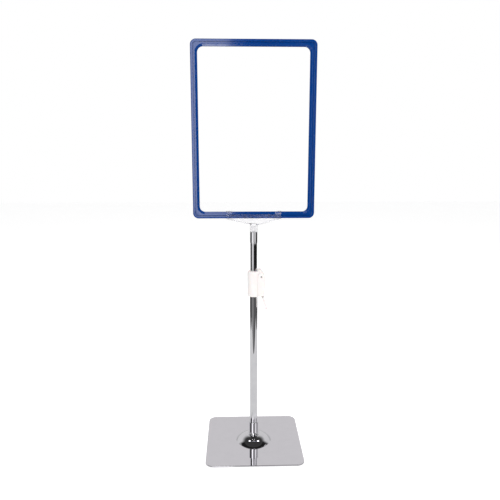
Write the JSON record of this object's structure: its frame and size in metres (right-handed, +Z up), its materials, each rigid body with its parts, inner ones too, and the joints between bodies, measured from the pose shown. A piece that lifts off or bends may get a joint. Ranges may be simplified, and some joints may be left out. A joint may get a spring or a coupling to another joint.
{
  "type": "telescopic sign stand",
  "caption": "Free-standing sign stand: a plastic sheet frame on a height-adjustable chromed pole with a lever clamp and a square plate base.",
  "frame": {"origin": "on the floor, under the centre of the pole and of the base plate", "axes": "+Z up along the pole, X across the sign with the clamp lever on +X, and the sign's front faces -Y"},
  "size_m": [0.31, 0.255, 1.0571],
  "materials": {
    "plate_chrome": "bright plated sheet",
    "dome_chrome": "bright plated sheet",
    "socket_chrome": "bright plated, turned",
    "tube_chrome": "bright plated tube",
    "plug_steel": "turned, plain",
    "zinc_steel": "zinc plated",
    "pin_steel": "dark rolled pin",
    "pad_rubber": "soft foam-backed pad",
    "black_plastic": "moulded",
    "white_plastic": "moulded, satin",
    "clear_plastic": "clear moulded plastic",
    "blue_plastic": "moulded, glossy"
  },
  "bodies": {
    "stand": {"base_plate": "plate_chrome", "base_pads": "pad_rubber", "dome_cover": "dome_chrome", "socket_sleeve": "socket_chrome", "socket_plug": "plug_steel", "base_washer": "zinc_steel", "lock_washer": "zinc_steel", "base_bolt": "zinc_steel", "outer_tube": "tube_chrome", "clamp_body": "white_plastic", "lever_pin": "pin_steel"},
    "lever": {"clamp_lever": "white_plastic"},
    "pad": {"brake_pad": "black_plastic"},
    "mast": {"inner_tube": "tube_chrome", "tube_glide": "black_plastic", "top_collar": "tube_chrome"},
    "sign": {"t_piece": "clear_plastic", "frame_front": "blue_plastic", "frame_rear": "blue_plastic"}
  },
  "joints": [
    {"name": "pole_slide", "type": "slide", "parent": "stand", "child": "mast", "axis": [0, 0, 1], "range_m": [-0.068, 0.33]},
    {"name": "sign_swivel", "type": "hinge", "parent": "mast", "child": "sign", "pos_m": [0, 0, 0.5858], "axis": [0, 0, 1], "continuous": true},
    {"name": "lever_flip", "type": "hinge", "parent": "stand", "child": "lever", "pos_m": [0.0198, 0, 0.4681], "axis": [0, -1, 0], "range_deg": [0, 100]},
    {"name": "pad_slide", "type": "slide", "parent": "stand", "child": "pad", "axis": [1, 0, 0], "range_m": [0, 0.0004]}
  ],
  "couplings": [
    {"joint": "pad_slide", "follows": "lever_flip", "m_per_rad": 0.000229}
  ]
}
